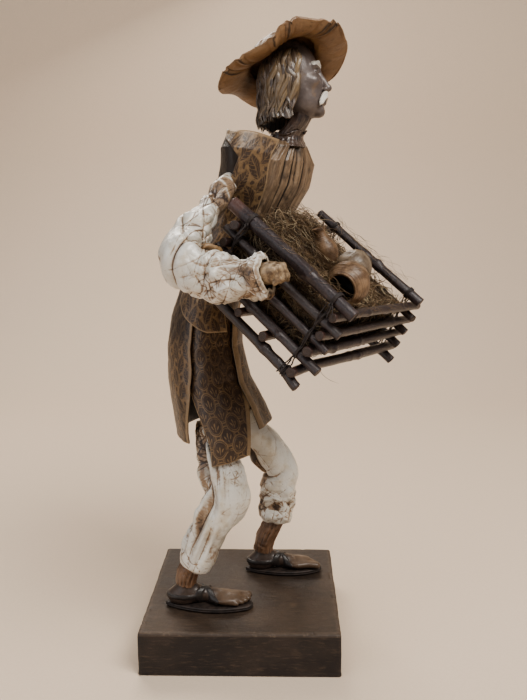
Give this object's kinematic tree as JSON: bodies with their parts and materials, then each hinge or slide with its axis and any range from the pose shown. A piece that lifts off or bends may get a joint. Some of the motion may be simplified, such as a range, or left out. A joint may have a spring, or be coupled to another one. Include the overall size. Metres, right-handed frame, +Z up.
{
  "type": "folk-art carrier figurine",
  "caption": "Lacquered-paper figure of an old vendor on a square wooden base, leaning under a tied twig crate with straw and small pots.",
  "frame": {"origin": "centre of the base block's underside", "axes": "+Z up, +X the way the feet point, +Y the figure's left"},
  "size_m": [0.1415, 0.1526, 0.3179],
  "materials": {
    "wood_base": "dark stained wood, worn satin",
    "bark": "dark bark twigs, lacquered",
    "cord": "dark waxed thread",
    "straw": "dry brown straw",
    "pot": "fine-ringed brown clay, satin lacquer",
    "white_paper": "crumpled ivory paper, brown wash in the creases, satin lacquer",
    "brown_paper": "crumpled brown paper, satin lacquer",
    "print_paper": "dark printed paper with bronze leaves, satin lacquer",
    "core_paper": "loose rolled paper",
    "hat_paper": "crumpled brown paper, satin lacquer",
    "skin": "paper pulp with a dark pewter-brown lacquer",
    "hair": "combed fibre, satin lacquer",
    "white_hair": "combed white fibre",
    "leg_paper": "wrapped brown paper, satin lacquer",
    "sandal": "dark stiff paper",
    "steel": "plain wire"
  },
  "bodies": {
    "figure": {"base_block": "wood_base", "collar": "brown_paper", "foot_left": "leg_paper", "foot_right": "leg_paper", "hair": "hair", "hand_left": "skin", "hand_right": "skin", "hat_brim": "hat_paper", "hat_crown": "hat_paper", "head": "skin", "lashing_back_far": "cord", "lashing_back_near": "cord", "lashing_front_far": "cord", "lashing_front_near": "cord", "leg_left": "leg_paper", "leg_right": "leg_paper", "leg_wire_left": "steel", "leg_wire_right": "steel", "moustache": "white_hair", "neck": "skin", "rail_back_a": "bark", "rail_back_b": "bark", "rail_back_c": "bark", "rail_back_d": "bark", "rail_far_a": "bark", "rail_far_b": "bark", "rail_far_c": "bark", "rail_far_d": "bark", "rail_far_e": "bark", "rail_front_a": "bark", "rail_front_b": "bark", "rail_front_c": "bark", "rail_front_d": "bark", "rail_near_a": "bark", "rail_near_b": "bark", "rail_near_c": "bark", "rail_near_d": "bark", "rail_near_e": "bark", "skirt_back": "print_paper", "skirt_far": "print_paper", "skirt_near": "print_paper", "slat_1": "bark", "slat_2": "bark", "slat_3": "bark", "sleeve_left": "white_paper", "sleeve_right": "white_paper", "sole_left": "sandal", "sole_right": "sandal", "spine_wire": "steel", "straw_nest": "straw", "torso_core": "core_paper", "trouser_left": "white_paper", "trouser_right": "white_paper", "tunic": "brown_paper", "vest_far": "print_paper", "vest_near": "print_paper"},
    "pot_near": {"pot_near": "pot"},
    "pot_far": {"pot_far": "pot"},
    "jug": {"jug": "pot"}
  },
  "joints": [
    {"name": "pot_near_lift", "type": "slide", "parent": "figure", "child": "pot_near", "axis": [0.5341, -0.2981, 0.7911], "range_m": [0, 0.06]},
    {"name": "pot_far_lift", "type": "slide", "parent": "figure", "child": "pot_far", "axis": [0.5341, -0.2981, 0.7911], "range_m": [0, 0.06]},
    {"name": "jug_lift", "type": "slide", "parent": "figure", "child": "jug", "axis": [0.5341, -0.2981, 0.7911], "range_m": [0, 0.06]}
  ]
}
